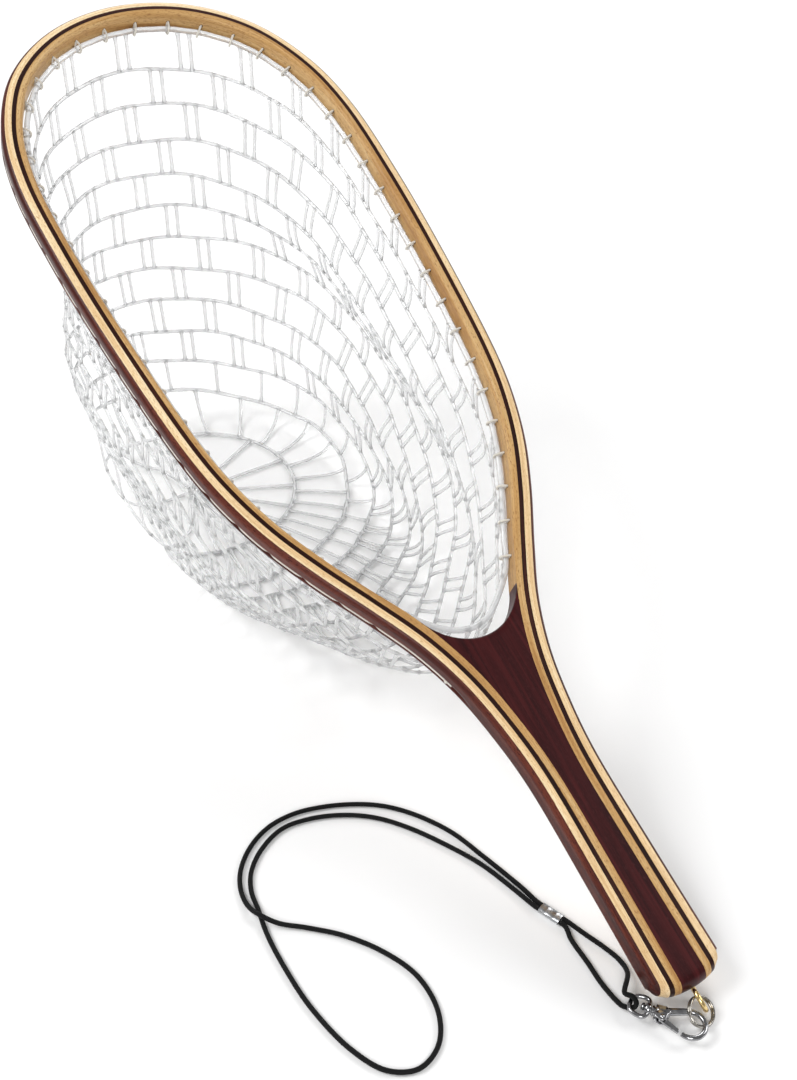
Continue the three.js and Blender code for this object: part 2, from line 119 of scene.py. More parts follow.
# ---------------------------------------------------------------- curves
def smooth_line(points, per_span=12, closed=False):
    """A centripetal Catmull-Rom curve through the points."""
    points = [Vector(p) for p in points]
    count = len(points)
    line = []
    spans = count if closed else count - 1
    for i in range(spans):
        p1, p2 = points[i], points[(i + 1) % count]
        p0 = points[i - 1] if closed or i > 0 else p1 * 2 - p2
        p3 = points[(i + 2) % count] if closed or i + 2 < count else p2 * 2 - p1
        knots = [0.0]
        for a, b in ((p0, p1), (p1, p2), (p2, p3)):
            knots.append(knots[-1] + max((b - a).length, 1e-9) ** 0.5)
        t0, t1, t2, t3 = knots
        for k in range(per_span):
            t = t1 + (t2 - t1) * k / per_span
            a1 = p0 * ((t1 - t) / (t1 - t0)) + p1 * ((t - t0) / (t1 - t0))
            a2 = p1 * ((t2 - t) / (t2 - t1)) + p2 * ((t - t1) / (t2 - t1))
            a3 = p2 * ((t3 - t) / (t3 - t2)) + p3 * ((t - t2) / (t3 - t2))
            b1 = a1 * ((t2 - t) / (t2 - t0)) + a2 * ((t - t0) / (t2 - t0))
            b2 = a2 * ((t3 - t) / (t3 - t1)) + a3 * ((t - t1) / (t3 - t1))
            line.append(b1 * ((t2 - t) / (t2 - t1)) + b2 * ((t - t1) / (t2 - t1)))
    if not closed:
        line.append(points[-1])
    return line


def resample(line, count, closed=False):
    """count points spaced evenly along the line; a closed line doesn't repeat its first point."""
    coords = np.array([list(p) for p in line] + ([list(line[0])] if closed else []))
    steps = np.linalg.norm(np.diff(coords, axis=0), axis=1)
    run = np.concatenate([[0.0], np.cumsum(steps)])
    wanted = np.linspace(0, run[-1], count + 1 if closed else count)
    if closed:
        wanted = wanted[:-1]
    columns = [np.interp(wanted, run, coords[:, axis]) for axis in range(coords.shape[1])]
    return [Vector(p) for p in zip(*columns)]


def even_angles(count):
    return [2 * math.pi * k / count for k in range(count)]


def line_length(line):
    return sum((b - a).length for a, b in zip(line, line[1:]))


# ---------------------------------------------------------------- mesh building
class Shape:
    """Vertices and faces gathered for one piece, with wood grain coordinates where they are given."""

    def __init__(self):
        self.points = []
        self.faces = []
        self.grain = []

    def add(self, point, grain=(0, 0, 0)):
        self.points.append(Vector(point))
        self.grain.append(tuple(grain))
        return len(self.points) - 1

    def bridge(self, lower, upper, closed=True):
        count = len(lower)
        for i in range(count if closed else count - 1):
            j = (i + 1) % count
            self.faces.append((lower[i], lower[j], upper[j], upper[i]))

    def tube(self, line, radius, sides=8, closed=False, flat=1.0, normals=None):
        """A tube along the line. radius is a number or a list; flat squeezes it along the normals."""
        count = len(line)
        radii = radius if hasattr(radius, "__len__") else [radius] * count
        rings = []
        side = None
        for i, point in enumerate(line):
            before = line[i - 1] if closed or i > 0 else point
            after = line[(i + 1) % count] if closed or i + 1 < count else point
            ahead = (after - before).normalized()
            if normals is not None:
                up = normals[i]
            elif side is None:
                up = Vector((0, 0, 1)) if abs(ahead.z) < 0.9 else Vector((1, 0, 0))
            else:
                up = ahead.cross(side) * -1
            side = ahead.cross(up).normalized()
            up = side.cross(ahead).normalized()
            ring = []
            for k, angle in enumerate(even_angles(sides)):
                out = side * math.cos(angle) + up * (math.sin(angle) * flat)
                ring.append(self.add(point + out * radii[i], (i * 0.001, k * 0.001, 0)))
            rings.append(ring)
        for lower, upper in zip(rings, rings[1:]):
            self.bridge(lower, upper)
        if closed:
            self._close_loop(rings[-1], rings[0], sides)
        else:
            self.faces.append(tuple(reversed(rings[0])))
            self.faces.append(tuple(rings[-1]))

    def _close_loop(self, last, first, sides):
        def gap(turn):
            pairs = [(last[k], first[(k + turn) % sides]) for k in range(sides)]
            return sum((self.points[a] - self.points[b]).length for a, b in pairs)

        turn = min(range(sides), key=gap)
        self.bridge(last, [first[(k + turn) % sides] for k in range(sides)])

    def lathe(self, profile, matrix, sides=32):
        """A turned solid round the matrix's z axis. profile is (radius, height) from axis to axis."""
        rings = []
        for radius, height in profile:
            if radius < 1e-6:
                rings.append([self.add(matrix @ Vector((0, 0, height)))])
                continue
            circle = [(radius * math.cos(a), radius * math.sin(a), height) for a in even_angles(sides)]
            rings.append([self.add(matrix @ Vector(point)) for point in circle])
        for lower, upper in zip(rings, rings[1:]):
            if len(lower) == 1:
                self.faces += [(lower[0], upper[(k + 1) % sides], upper[k]) for k in range(sides)]
            elif len(upper) == 1:
                self.faces += [(lower[k], lower[(k + 1) % sides], upper[0]) for k in range(sides)]
            else:
                self.bridge(lower, upper)

    def prism(self, outline, low, high, matrix):
        """A flat outline (x, y) made thick from low to high, placed by the matrix."""
        bottom = [self.add(matrix @ Vector((x, y, low))) for x, y in outline]
        top = [self.add(matrix @ Vector((x, y, high))) for x, y in outline]
        self.faces.append(tuple(reversed(bottom)))
        self.faces.append(tuple(top))
        self.bridge(bottom, top)

    def build(self, name, material, smooth_angle=40, weld=False):
        mesh = bpy.data.meshes.new(name)
        mesh.from_pydata([list(p) for p in self.points], [], self.faces)
        layer = mesh.attributes.new("grain", "FLOAT_VECTOR", "POINT")
        layer.data.foreach_set("vector", np.array(self.grain, dtype=np.float32).ravel())
        mesh.materials.append(material)
        piece = bpy.data.objects.new(name, mesh)
        bpy.context.collection.objects.link(piece)
        tidy_mesh(mesh, weld)
        mesh.shade_smooth()
        mesh.set_sharp_from_angle(angle=math.radians(smooth_angle))
        return piece


def tidy_mesh(mesh, weld):
    """Turns all faces outwards and, where asked, joins points that coincide."""
    work = bmesh.new()
    work.from_mesh(mesh)
    if weld:
        bmesh.ops.remove_doubles(work, verts=work.verts, dist=1e-6)
    bmesh.ops.recalc_face_normals(work, faces=work.faces)
    work.to_mesh(mesh)
    work.free()


def bevel(piece, width):
    """Rounds the edges of a piece and keeps the result in its mesh."""
    modifier = piece.modifiers.new("bevel", "BEVEL")
    modifier.width = width
    modifier.segments = 3
    modifier.limit_method = "ANGLE"
    modifier.angle_limit = math.radians(40)
    evaluated = piece.evaluated_get(bpy.context.evaluated_depsgraph_get())
    mesh = bpy.data.meshes.new_from_object(evaluated)
    piece.modifiers.clear()
    piece.data = mesh
    mesh.shade_smooth()
    mesh.set_sharp_from_angle(angle=math.radians(50))
    return piece


# ---------------------------------------------------------------- materials
def new_material(name):
    material = bpy.data.materials.new(name)
    material.use_nodes = True
    nodes = material.node_tree.nodes
    shader = next(node for node in nodes if node.type == "BSDF_PRINCIPLED")
    return material, nodes, material.node_tree.links, shader


def set_inputs(node, **values):
    """Sets sockets by name, with underscores for the spaces."""
    for name, value in values.items():
        node.inputs[name.replace("_", " ")].default_value = value


def grain_coords(nodes, links, scale):
    source = nodes.new("ShaderNodeAttribute")
    source.attribute_name = "grain"
    mapping = nodes.new("ShaderNodeMapping")
    set_inputs(mapping, Scale=scale)
    links.new(source.outputs["Vector"], mapping.inputs["Vector"])
    return mapping.outputs["Vector"]


def object_coords(nodes, links, scale):
    source = nodes.new("ShaderNodeTexCoord")
    mapping = nodes.new("ShaderNodeMapping")
    set_inputs(mapping, Scale=(scale, scale, scale))
    links.new(source.outputs["Object"], mapping.inputs["Vector"])
    return mapping.outputs["Vector"]


def noise(nodes, links, vector, detail=4.0, roughness=0.6, distortion=0.0):
    node = nodes.new("ShaderNodeTexNoise")
    set_inputs(node, Scale=1.0, Detail=detail, Roughness=roughness, Distortion=distortion)
    links.new(vector, node.inputs["Vector"])
    return node.outputs["Fac"]


def ramp(nodes, links, factor, stops):
    node = nodes.new("ShaderNodeValToRGB")
    elements = node.color_ramp.elements
    while len(elements) < len(stops):
        elements.new(0.5)
    for element, (place, color) in zip(elements, stops):
        element.position = place
        element.color = (*color, 1)
    links.new(factor, node.inputs["Fac"])
    return node.outputs["Color"]


def mixed(nodes, links, factor, first, second, mode="MIX"):
    node = nodes.new("ShaderNodeMix")
    node.data_type = "RGBA"
    node.blend_type = mode
    for value, socket in ((factor, node.inputs[0]), (first, node.inputs[6]), (second, node.inputs[7])):
        if hasattr(value, "is_linked"):
            links.new(value, socket)
        else:
            socket.default_value = value
    return node.outputs[2]


def bumped(nodes, links, shader, height, strength, distance):
    node = nodes.new("ShaderNodeBump")
    set_inputs(node, Strength=strength, Distance=distance)
    links.new(height, node.inputs["Height"])
    links.new(node.outputs["Normal"], shader.inputs["Normal"])


def rough_range(nodes, links, shader, factor, low, high):
    node = nodes.new("ShaderNodeMapRange")
    set_inputs(node, To_Min=low, To_Max=high)
    links.new(factor, node.inputs["Value"])
    links.new(node.outputs["Result"], shader.inputs["Roughness"])


def wood_material(name, dark, middle, light, pores):
    """Lacquered wood: broad figure, fine streaks and short pores that all run along the grain."""
    material, nodes, links, shader = new_material(name)
    figure = noise(nodes, links, grain_coords(nodes, links, (9, 260, 120)), detail=3, distortion=0.8)
    streaks = noise(nodes, links, grain_coords(nodes, links, (22, 1500, 900)), detail=5, roughness=0.7)
    pore_map = noise(nodes, links, grain_coords(nodes, links, (420, 3800, 3800)), detail=2)
    broad = ramp(nodes, links, figure, [(0.3, dark), (0.5, middle), (0.7, light)])
    fine = ramp(nodes, links, streaks, [(0.35, (0.72, 0.66, 0.6)), (0.62, (1, 1, 1))])
    body = mixed(nodes, links, 0.6, broad, fine, "MULTIPLY")
    dots = ramp(nodes, links, pore_map, [(0.36, (0, 0, 0)), (0.44, (1, 1, 1))])
    color = mixed(nodes, links, dots, (*pores, 1), body)
    links.new(color, shader.inputs["Base Color"])
    rough_range(nodes, links, shader, streaks, 0.26, 0.42)
    bumped(nodes, links, shader, streaks, 0.08, 0.0002)
    set_inputs(shader, Specular_IOR_Level=0.16, Coat_Weight=0.08, Coat_Roughness=0.12)
    return material


def rubber_material():
    """Clear moulded rubber, faintly clouded."""
    material, nodes, links, shader = new_material("clear_rubber")
    cloud = noise(nodes, links, object_coords(nodes, links, 260), detail=3)
    color = ramp(nodes, links, cloud, [(0.3, (0.88, 0.885, 0.89)), (0.7, (0.96, 0.965, 0.97))])
    links.new(color, shader.inputs["Base Color"])
    rough_range(nodes, links, shader, cloud, 0.12, 0.26)
    bumped(nodes, links, shader, cloud, 0.15, 0.0003)
    set_inputs(shader, Transmission_Weight=0.7, IOR=1.46, Coat_Weight=0.3, Coat_Roughness=0.1)
    return material


def cord_material(name, dark, light, pitch, roughness, specular, sheen):
    """Braided cord: fine diagonal plaits from two crossed waves, with painted shade that darkens the colour in
    the hollows between the plaits.
    """
    material, nodes, links, shader = new_material(name)
    coords = object_coords(nodes, links, 1.0)
    plaits = []
    for turn in (0.8, -0.8):
        mapping = nodes.new("ShaderNodeMapping")
        set_inputs(mapping, Rotation=(turn, turn * 0.7, turn))
        links.new(coords, mapping.inputs["Vector"])
        wave = nodes.new("ShaderNodeTexWave")
        set_inputs(wave, Scale=pitch, Distortion=1.2)
        links.new(mapping.outputs["Vector"], wave.inputs["Vector"])
        plaits.append(wave.outputs["Fac"])
    both = nodes.new("ShaderNodeMath")
    both.operation = "MULTIPLY"
    links.new(plaits[0], both.inputs[0])
    links.new(plaits[1], both.inputs[1])
    weave = both.outputs["Value"]
    # the dark colour falls where the weave is lowest: painted shade in the hollows between the plaits
    links.new(ramp(nodes, links, weave, [(0.1, dark), (0.9, light)]), shader.inputs["Base Color"])
    rough_range(nodes, links, shader, weave, roughness + 0.1, roughness)
    bumped(nodes, links, shader, weave, 0.5, 0.0003)
    set_inputs(shader, Specular_IOR_Level=specular, Sheen_Weight=sheen)
    return material


def metal_material(name, low, high, roughness):
    """Plated metal with small differences in polish and fine handling marks."""
    material, nodes, links, shader = new_material(name)
    clouds = noise(nodes, links, object_coords(nodes, links, 380), detail=4)
    marks = noise(nodes, links, object_coords(nodes, links, 2600), detail=3, distortion=1.5)
    links.new(ramp(nodes, links, clouds, [(0.3, low), (0.7, high)]), shader.inputs["Base Color"])
    rough_range(nodes, links, shader, marks, roughness * 0.65, roughness * 1.7)
    bumped(nodes, links, shader, marks, 0.06, 0.0001)
    set_inputs(shader, Metallic=1.0)
    return material


def plain_floor_material():
    material, nodes, links, shader = new_material("floor")
    soft = noise(nodes, links, object_coords(nodes, links, 3), detail=2)
    color = ramp(nodes, links, soft, [(0.3, (0.93, 0.93, 0.93)), (0.7, (0.95, 0.95, 0.95))])
    links.new(color, shader.inputs["Base Color"])
    set_inputs(shader, Roughness=0.9)
    return material


# Each wood's colours: dark, middle and light figure, and pores.
DARK_WOOD = wood_material(
    "dark_wood", (0.014, 0.003, 0.002), (0.026, 0.006, 0.004), (0.05, 0.013, 0.008), (0.008, 0.002, 0.002),
)
OUTER_WOOD = wood_material(
    "outer_wood", (0.032, 0.006, 0.005), (0.08, 0.016, 0.011), (0.16, 0.04, 0.024), (0.02, 0.004, 0.004),
)
CREAM_WOOD = wood_material(
    "cream_wood", (0.72, 0.48, 0.24), (0.88, 0.66, 0.38), (0.96, 0.8, 0.54), (0.56, 0.34, 0.15),
)
TAN_WOOD = wood_material(
    "tan_wood", (0.4, 0.2, 0.065), (0.56, 0.33, 0.125), (0.7, 0.48, 0.23), (0.3, 0.14, 0.05),
)
ROSEWOOD = wood_material(
    "rosewood", (0.02, 0.002, 0.003), (0.04, 0.004, 0.005), (0.072, 0.009, 0.01), (0.05, 0.009, 0.01),
)
RUBBER = rubber_material()
# each cord's first colour is painted shade in the weave's hollows, its second the cord's own colour
LACING = cord_material("white_lacing", (0.7, 0.66, 0.58), (0.92, 0.9, 0.86), 900, 0.45, 0.5, 0.12)
BLACK_CORD = cord_material(
    "black_cord", (0.001, 0.001, 0.0012), (0.007, 0.007, 0.008), 1200, 0.62, 0.22, 0.03,
)
BRASS = metal_material("brass", (0.72, 0.5, 0.2), (0.88, 0.68, 0.34), 0.2)
CHROME = metal_material("chrome", (0.24, 0.24, 0.25), (0.46, 0.46, 0.47), 0.12)
NICKEL = metal_material("nickel", (0.26, 0.245, 0.22), (0.48, 0.455, 0.42), 0.14)
CRIMP_METAL = metal_material("crimp_metal", (0.42, 0.43, 0.45), (0.62, 0.63, 0.64), 0.26)
FLOOR = plain_floor_material()


# ---------------------------------------------------------------- camera, floor and light
def add_camera():
    """Looks down at the net from the handle's left, 39 degrees above the table."""
    data = bpy.data.cameras.new("camera")
    data.lens = 49.07
    camera = bpy.data.objects.new("camera", data)
    bpy.context.collection.objects.link(camera)
    azimuth, elevation = math.radians(-31.94), math.radians(39.29)
    level = math.cos(elevation)
    back = Vector((math.sin(azimuth) * level, -math.cos(azimuth) * level, math.sin(elevation)))
    camera.location = (-0.2887, -0.4874, 0.5333)
    camera.rotation_euler = back.to_track_quat("Z", "Y").to_euler()
    bpy.context.scene.camera = camera


def add_stage():
    """A pale floor, a soft sky and four soft lamps."""
    floor = Shape()
    reach = 4.0
    corners = [floor.add((x * reach, y * reach, -0.0002)) for x, y in ((-1, -1), (1, -1), (1, 1), (-1, 1))]
    floor.faces.append(tuple(corners))
    floor.build("floor", FLOOR)
    world = bpy.data.worlds.new("studio")
    bpy.context.scene.world = world
    world.use_nodes = True
    sky = world.node_tree.nodes["Background"]
    set_inputs(sky, Color=(1.0, 1.0, 1.0, 1), Strength=0.3)
    for name, place, size, power in (
        ("key", (-1.5, 0.9, 1.9), 1.2, 34),
        ("back", (1.3, 2.0, 1.5), 1.2, 24),
        ("fill", (1.9, -0.7, 1.5), 1.1, 20),
        ("front", (-1.2, -1.6, 1.5), 1.0, 24),
    ):
        data = bpy.data.lights.new(name, "AREA")
        data.size = size
        data.energy = power
        lamp = bpy.data.objects.new(name, data)
        lamp.location = place
        lamp.rotation_euler = Vector(place).to_track_quat("Z", "Y").to_euler()
        bpy.context.collection.objects.link(lamp)
    bpy.context.scene.view_settings.view_transform = "Standard"


# ---------------------------------------------------------------- places
def plane_matrix():
    """From the hoop's plane to the frame: in millimetres, butt at y = 0, top face at z = 0."""
    mount = MOUNTS["handle_top"]
    up = Vector(mount["axis"]).normalized()
    across = Vector((1, 0, 0))
    along = up.cross(across)
    origin = Vector(mount["pos_m"]) - along * HANDLE_TOP_FROM_BUTT * MM
    turn = Matrix((across, along, up)).transposed().to_4x4()
    return Matrix.Translation(origin) @ turn @ Matrix.Scale(MM, 4)


def upright_matrix(joint, ahead):
    """A frame at a joint's place with x along ahead and z up, in millimetres."""
    x = Vector(ahead).normalized()
    z = Vector((0, 0, 1))
    turn = Matrix((x, z.cross(x), z)).transposed().to_4x4()
    return Matrix.Translation(Vector(JOINTS[joint]["pos_m"])) @ turn @ Matrix.Scale(MM, 4)


PLANE = plane_matrix()
BUTT_Y = (PLANE @ Vector((0, 0, 0))).y  # the butt's place along the table, in metres
SNAP = upright_matrix("swivel_turn", JOINTS["swivel_turn"]["axis"])


def on_table(x, y, z=LYING):
    """A point given in millimetres from the butt, on the table's axes."""
    return Vector((x * MM, y * MM + BUTT_Y, z * MM))


# ---------------------------------------------------------------- lanyard
CRIMP = {"x": -24.5, "y": 61.4, "length": 10.4, "bearing": math.radians(108)}
STRAND = 1.25
CRIMP_HEIGHT = 1.6
EYE_BAR, BEND, SIDE = -8.0, 2.5, 1.3
WRIST_LOOP = [
    (-27, 80), (-31.6, 103), (-36.4, 123), (-45.5, 141), (-55, 152.5), (-66, 160.5), (-80, 167),
    (-93, 170.2), (-106, 169.3), (-118, 163.8), (-128, 154.5), (-133, 145), (-134.6, 135, 1.7),
    (-133, 126.5, 3.8), (-127.5, 119.5, 1.9), (-118.5, 112), (-107, 100.2), (-96.6, 84), (-90.6, 66),
    (-92.5, 47), (-101, 34), (-113, 29.6), (-124, 35.5), (-131.5, 51), (-135.8, 76), (-135.8, 100),
    (-134.2, 118), (-131.5, 131), (-129.5, 141.5), (-124.5, 151), (-114.5, 159.8), (-101, 165.2),
    (-87, 163.4), (-73, 157.2), (-61.5, 148.2), (-51.8, 135.5), (-42, 117), (-34.8, 99.5), (-30.4, 81),
]
UNDER_STRAND = [(-25, 46, 1.3), (-26, 34, 1.25), (-27.4, 21, 1.25)]
OVER_STRAND = [(-18.5, 46, 1.4), (-15.2, 35, 1.25), (-14, 27, 1.6), (-16, 19.5, 3.5)]


def crimp_face(end, side, beyond=0.3):
    """An end of the crimp on one strand, as the CAD cord meets it."""
    reach = end * (CRIMP["length"] / 2 + beyond)
    bearing = CRIMP["bearing"]
    x = CRIMP["x"] + reach * math.cos(bearing) + side * STRAND * math.sin(bearing)
    y = CRIMP["y"] + reach * math.sin(bearing) - side * STRAND * math.cos(bearing)
    return on_table(x, y, CRIMP_HEIGHT)


def crimp_end(end, side):
    """Two points that lead a cord straight out of the crimp."""
    return [crimp_face(end, side), crimp_face(end, side, 3)]


def wrist_loop():
    route = crimp_end(1, 1) + [on_table(*p) for p in WRIST_LOOP] + crimp_end(1, -1)[::-1]
    line = resample(smooth_line(route), 420)
    data = bpy.data.curves.new("wrist_loop", "CURVE")
    data.dimensions = "3D"
    data.bevel_depth = CORD_RADIUS * MM
    data.bevel_resolution = 5
    data.use_fill_caps = True
    spline = data.splines.new("POLY")
    spline.points.add(len(line) - 1)
    for place, point in zip(spline.points, line):
        place.co = (*point, 1)
    data.materials.append(BLACK_CORD)
    piece = bpy.data.objects.new("wrist_loop", data)
    bpy.context.collection.objects.link(piece)
    return piece, line


def small_loop():
    """From the crimp under the swivel eye's far bar, round it and back, as one cord."""
    def on_snap(x, y, z):
        return SNAP @ Vector((x, y, z))
    turn = []
    for i in range(7):
        angle = -math.pi / 2 + math.pi * i / 6
        side = -SIDE + 2 * SIDE * i / 6
        turn.append(on_snap(EYE_BAR + BEND * math.cos(angle), side, BEND * math.sin(angle)))
    starts = {}
    for level in (-1, 1):
        starts[level] = [on_snap(EYE_BAR - back, level * SIDE, level * BEND) for back in (3, 1.3)]
    route = crimp_end(-1, -1) + [on_table(*p) for p in UNDER_STRAND] + starts[-1] + turn
    route += starts[1][::-1] + [on_table(*p) for p in OVER_STRAND][::-1] + crimp_end(-1, 1)[::-1]
    line = resample(smooth_line(route), 150)
    shape = Shape()
    shape.tube(line, CORD_RADIUS * MM, sides=14)
    return shape.build("small_loop", BLACK_CORD, 60), line


def crimp_sleeve():
    """A pressed metal sleeve round both strands, pinched at its middle."""
    shape = Shape()
    x, y = CRIMP["x"], CRIMP["y"]
    place = Matrix.Translation(on_table(x, y, CRIMP_HEIGHT)) @ Matrix.Rotation(CRIMP["bearing"], 4, "Z")
    place = place @ Matrix.Scale(MM, 4)
    half, rings, sides = CRIMP["length"] / 2, 22, 36
    loops = []
    for i in range(rings + 1):
        along = -half + 2 * half * i / rings
        rim = 0.12 * math.exp(-((half - abs(along)) / 0.5) ** 2)
        pinch = 0.22 * math.exp(-(abs(abs(along) - 2.2) / 0.9) ** 2)
        loop = []
        for angle in even_angles(sides):
            wide = (STRAND + 1.45 + rim) * math.copysign(abs(math.cos(angle)) ** 0.8, math.cos(angle))
            tall = (1.45 + rim - pinch) * math.copysign(abs(math.sin(angle)) ** 0.8, math.sin(angle))
            loop.append(shape.add(place @ Vector((along, wide, tall))))
        loops.append(loop)
    for lower, upper in zip(loops, loops[1:]):
        shape.bridge(lower, upper)
    shape.faces.append(tuple(reversed(loops[0])))
    shape.faces.append(tuple(loops[-1]))
    return shape.build("crimp", CRIMP_METAL, 45)


def make_lanyard():
    crimp = crimp_sleeve()
    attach(crimp, "snap")
    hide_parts("lanyard_crimp")
    loop, loop_line = wrist_loop()
    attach(loop, "snap")
    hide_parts("lanyard_wrist_loop")
    small, small_line = small_loop()
    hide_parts("lanyard_bight", "lanyard_under_strand", "lanyard_over_strand")
    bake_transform(small)


# ---------------------------------------------------------------- wood
def hoop_line():
    """The middle ply's centreline from leg round the tip to leg, at even steps."""
    right = [Vector((x, y, 0)) for x, y in HALF_OUTLINE]
    left = [Vector((-x, y, 0)) for x, y in reversed(HALF_OUTLINE[:-1])]
    return resample(smooth_line(right + left, 24), STATIONS + 1)


CENTRE = hoop_line()
NORMALS = []
for index in range(STATIONS + 1):
    step = CENTRE[min(index + 1, STATIONS)] - CENTRE[max(index - 1, 0)]
    NORMALS.append(Vector((step.y, -step.x, 0)).normalized())
RUN = [0.0]
for one, two in zip(CENTRE, CENTRE[1:]):
    RUN.append(RUN[-1] + (two - one).length)


def rounded(depth, radius):
    """How far a rounded edge falls away at a depth in from it."""
    if radius <= 0 or depth >= radius:
        return 0.0
    return radius - math.sqrt(radius ** 2 - (radius - max(depth, 0)) ** 2)


def corner_points():
    """Points along the corner's quadratic bezier."""
    (x0, y0), (x1, y1), (x2, y2) = BUTT_CORNER
    shares = [k / 20 for k in range(21)]
    return [((1 - t) ** 2 * x0 + 2 * (1 - t) * t * x1 + t * t * x2,
             (1 - t) ** 2 * y0 + 2 * (1 - t) * t * y1 + t * t * y2) for t in shares]


CORNER = corner_points()


def butt_line(x):
    """The handle's end seen from above: a shallow arc with rounded corners."""
    start_x, start_y = BUTT_CORNER[0]
    if abs(x) <= start_x:
        return -BUTT_REACH + (start_y + BUTT_REACH) * (x / start_x) ** 2
    return float(np.interp(abs(x), [p[0] for p in CORNER], [p[1] for p in CORNER]))


def half_round(height):
    """How far the end falls back above and below its middle, as a half round."""
    level = min(abs(height + FRAME_HEIGHT / 2) / (FRAME_HEIGHT / 2), 1.0)
    return BUTT_REACH * (1 - math.sqrt(1 - level ** 2))


def butt_shift(point, height):
    """Moves the first stretch of the handle so that its end has the butt's shape."""
    if point.y >= BUTT_BLEND:
        return point.y
    first = HALF_OUTLINE[0][1]
    share = (point.y - first) / (BUTT_BLEND - first)
    start = butt_line(point.x) + half_round(height)
    return start + (BUTT_BLEND - start) * share


INSIDE_ROWS = [0.12, 0.5, 1.1, 1.9, 3.0, 4.4, 6.0, 7.6, 9.0, 10.1, 10.9, 11.5, 11.88]
UPPER_SHARES = [0.0, 0.12, 0.3, 0.55, 0.8, 1.0]
GROOVE_ROWS = [-6.8, -7.3, -7.65, -8.1, -8.55, -8.9, -9.3]
TOP_SAMPLES = 8


def edge_rounds(y):
    """Radii of the section's rounded edges at a place: upper outer, lower outer and both inner."""
    upper = EDGE_ROUND + (HOOP_ROUND - EDGE_ROUND) * smoothstep(y, 230, 340)
    inner = INNER_ROUND * smoothstep(y, THROAT_HORN, THROAT_HORN + 22)
    return upper, LOWER_ROUND, inner


def side_rows(offset, rounds):
    """Heights down one glue line or face, from the section's top there to its bottom."""
    upper, lower, inner = rounds
    top = max(rounded(OUTER_EDGE - offset, upper), rounded(offset - TAN_EDGE, inner))
    bottom = max(rounded(OUTER_EDGE - offset, lower), rounded(offset - TAN_EDGE, inner))
    middle = FRAME_HEIGHT / 2
    rows = []
    for row in INSIDE_ROWS:
        if row <= middle:
            rows.append(-(top + row * (middle - top) / middle))
        else:
            rows.append(-FRAME_HEIGHT + bottom + (FRAME_HEIGHT - row) * (middle - bottom) / middle)
    return rows


def ply_section(inner, outer, rounds, grooved):
    """(offset, height) round one ply's section: top, outer face, bottom, inner face."""
    upper, lower, hollow = rounds
    offsets = []
    for j in range(TOP_SAMPLES):
        share = j / (TOP_SAMPLES - 1)
        if outer == OUTER_EDGE:
            share = math.sin(math.pi / 2 * share)
        elif inner == TAN_EDGE:
            share = 1 - math.cos(math.pi / 2 * share)
        offsets.append(inner + (outer - inner) * share)
    top = [(d, -max(rounded(OUTER_EDGE - d, upper), rounded(d - TAN_EDGE, hollow))) for d in offsets]
    bottom = [(d, max(rounded(OUTER_EDGE - d, lower), rounded(d - TAN_EDGE, hollow)) - FRAME_HEIGHT)
              for d in reversed(offsets)]
    if outer == OUTER_EDGE:
        heights = [-(upper + (6 - upper) * share) for share in UPPER_SHARES] + GROOVE_ROWS
    else:
        heights = side_rows(outer, rounds)
    outside = []
    for height in heights:
        dip = 0.0
        if grooved and abs(height - GROOVE_HEIGHT) < GROOVE_RADIUS:
            dip = math.sqrt(GROOVE_RADIUS ** 2 - (height - GROOVE_HEIGHT) ** 2) * grooved
        outside.append((outer - dip, height))
    inside = [(inner, height) for height in reversed(side_rows(inner, rounds))]
    return top, outside, bottom, inside


def make_ply(name, inner, outer, material):
    shape = Shape()
    rings = []
    for i, (centre, normal) in enumerate(zip(CENTRE, NORMALS)):
        grooved = smoothstep(centre.y, 142, 152) if outer == OUTER_EDGE else 0.0
        ring = []
        for offset, height in sum(ply_section(inner, outer, edge_rounds(centre.y), grooved), []):
            point = centre + normal * offset
            point.y = butt_shift(point, height)
            point.z = height
            ring.append(shape.add(PLANE @ point, (RUN[i] * MM, offset * MM, height * MM)))
        rings.append(ring)
    for lower, upper in zip(rings, rings[1:]):
        shape.bridge(lower, upper)
    rows = len(INSIDE_ROWS)
    for ring in (rings[0], rings[-1]):
        top = ring[:TOP_SAMPLES]
        outer_rows = ring[TOP_SAMPLES:TOP_SAMPLES + rows]
        bottom = ring[TOP_SAMPLES + rows:2 * TOP_SAMPLES + rows]
        inner_rows = ring[2 * TOP_SAMPLES + rows:][::-1]
        shape.faces.append(tuple(top + [outer_rows[0], inner_rows[0]]))
        for k in range(rows - 1):
            shape.faces.append((outer_rows[k], outer_rows[k + 1], inner_rows[k + 1], inner_rows[k]))
        shape.faces.append(tuple([outer_rows[-1]] + bottom + [inner_rows[-1]]))
    return shape.build(name, material, 50)


def half_width(y):
    """Half the core's width at a distance from the butt, to the tan ply's inner face."""
    leg = [(c.y + n.y * TAN_EDGE, c.x + n.x * TAN_EDGE) for c, n in zip(CENTRE[:150], NORMALS[:150])]
    return float(np.interp(y, [p[0] for p in leg], [p[1] for p in leg]))


def cradle_point(t):
    """The cradle's edge: a bezier from horn to horn, t from 0 to 1."""
    horn = half_width(THROAT_HORN)
    pull = 2 * THROAT_DEPTH - THROAT_HORN + 6
    weights = ((1 - t) ** 3, 3 * (1 - t) ** 2 * t, 3 * (1 - t) * t ** 2, t ** 3)
    x = sum(w * v for w, v in zip(weights, (horn, horn * 0.55, -horn * 0.55, -horn)))
    y = sum(w * v for w, v in zip(weights, (THROAT_HORN, pull, pull, THROAT_HORN)))
    return x, y


